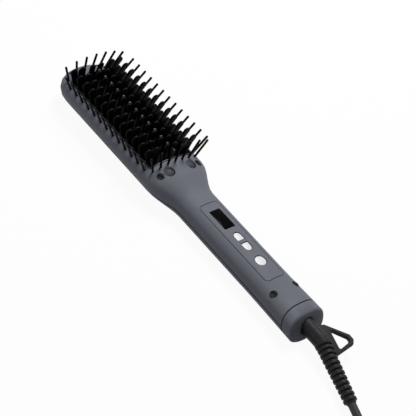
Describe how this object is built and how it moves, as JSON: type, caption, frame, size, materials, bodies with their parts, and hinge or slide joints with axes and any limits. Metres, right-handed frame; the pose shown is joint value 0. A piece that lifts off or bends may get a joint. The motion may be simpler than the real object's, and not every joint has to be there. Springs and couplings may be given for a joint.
{
  "type": "hair straightener brush",
  "caption": "Straightening brush: heated comb bed ringed by cool pins, display and keys on the handle, and a swivelling cord outlet with a hanging loop.",
  "frame": {"origin": "on the flat strip of the back, on the centre line, where the handle meets the head", "axes": "+Y from the cord towards the head's tip, +Z out of the back towards the comb fins, +X to the right seen from the fins with the tip up"},
  "size_m": [0.0726, 0.6384, 0.0461],
  "materials": {
    "grey_shell": "fine matte texture",
    "black_panel": "smooth gloss",
    "display_window": "dark tinted gloss",
    "key_white": "satin",
    "comb_black": "satin ceramic coat",
    "pin_black": "satin",
    "outlet_dark": "satin",
    "cord_dark": "matte",
    "steel": "plain",
    "black_steel": "black oxide",
    "brass": "plain",
    "heater_ceramic": "fired ceramic",
    "insulation": "polyimide film",
    "board_green": "solder mask",
    "part_dark": "moulded component",
    "acetal": "plain"
  },
  "bodies": {
    "brush": {"front_casing": "grey_shell", "back_casing": "grey_shell", "end_cap": "grey_shell", "pin_frame": "pin_black", "side_pins": "pin_black", "end_pins": "pin_black", "bed_bezel": "comb_black", "comb_plate": "comb_black", "comb_fins": "comb_black", "centre_pins": "pin_black", "heater_element": "heater_ceramic", "heater_insulator": "insulation", "heater_clamp": "steel", "heater_leads": "insulation", "mains_leads": "insulation", "clamp_screws": "steel", "thermistor": "part_dark", "thermal_fuse": "steel", "ion_module": "part_dark", "control_panel": "grey_shell", "lcd_window": "display_window", "lcd_module": "part_dark", "tact_switches": "part_dark", "control_board": "board_green", "board_screws": "steel", "power_board": "board_green", "power_board_screws": "steel", "power_components": "part_dark", "casing_screws": "black_steel", "swivel_bush": "acetal", "contact_block": "part_dark", "contact_springs": "brass"},
    "upper_key": {"key_up": "key_white"},
    "lower_key": {"key_down": "key_white"},
    "power_key": {"key_power": "key_white"},
    "outlet": {"strain_relief": "outlet_dark", "hanging_loop": "outlet_dark", "contact_rings": "brass", "power_cord": "cord_dark", "cord_hank": "cord_dark", "cord_tail": "cord_dark", "hank_tie": "part_dark", "plug_body": "cord_dark", "plug_blades": "brass"}
  },
  "joints": [
    {"name": "upper_key_press", "type": "slide", "parent": "brush", "child": "upper_key", "axis": [0, 0, -1], "range_m": [0, 0.0005], "stiffness_N_per_m": 800},
    {"name": "lower_key_press", "type": "slide", "parent": "brush", "child": "lower_key", "axis": [0, 0, -1], "range_m": [0, 0.0005], "stiffness_N_per_m": 800},
    {"name": "power_key_press", "type": "slide", "parent": "brush", "child": "power_key", "axis": [0, 0, -1], "range_m": [0, 0.0005], "stiffness_N_per_m": 800},
    {"name": "outlet_swivel", "type": "hinge", "parent": "brush", "child": "outlet", "pos_m": [0, -0.1255, 0.0112], "axis": [0, 1, 0], "continuous": true}
  ]
}
